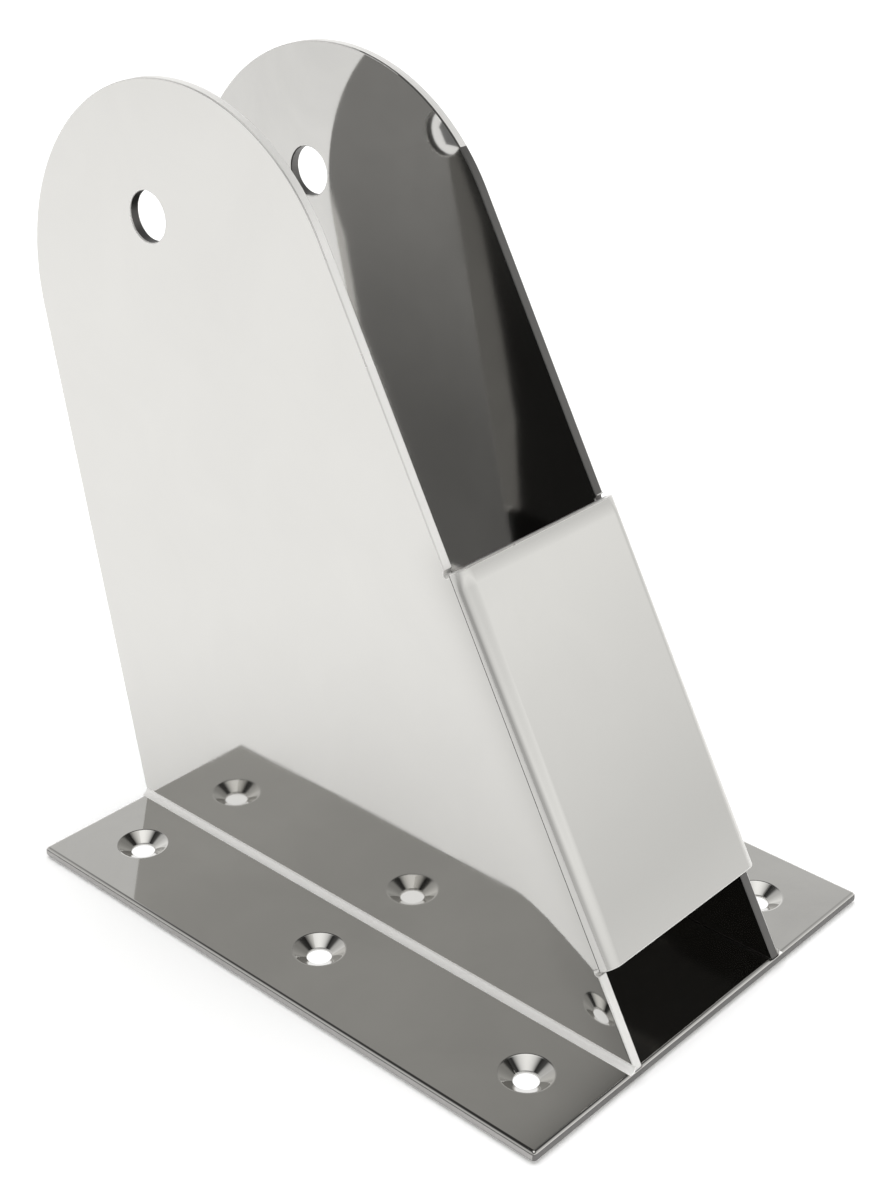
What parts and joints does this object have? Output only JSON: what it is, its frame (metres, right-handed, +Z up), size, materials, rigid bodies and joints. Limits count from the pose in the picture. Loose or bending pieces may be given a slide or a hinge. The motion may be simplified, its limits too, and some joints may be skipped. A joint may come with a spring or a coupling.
{
  "type": "mast step",
  "caption": "Polished stainless mast step: folded sheet with tall round-topped cheeks and a sloped front web, welded to a screw-down base plate, with a pivot hole through the cheeks.",
  "frame": {"origin": "middle of the base plate's underside", "axes": "+Z up from the deck, +X across the fitting along the pivot hole, -Y towards the front with the sloped web, +Y towards the open rear"},
  "size_m": [0.117, 0.1849, 0.1895],
  "materials": {
    "plate_steel": "mirror-polished stainless steel sheet",
    "body_steel": "mirror-polished stainless steel sheet, folded",
    "weld_steel": "stainless weld metal, ground and polished"
  },
  "bodies": {
    "root": {"base_plate": "plate_steel", "folded_body": "body_steel", "left_weld": "weld_steel", "right_weld": "weld_steel"}
  },
  "joints": []
}
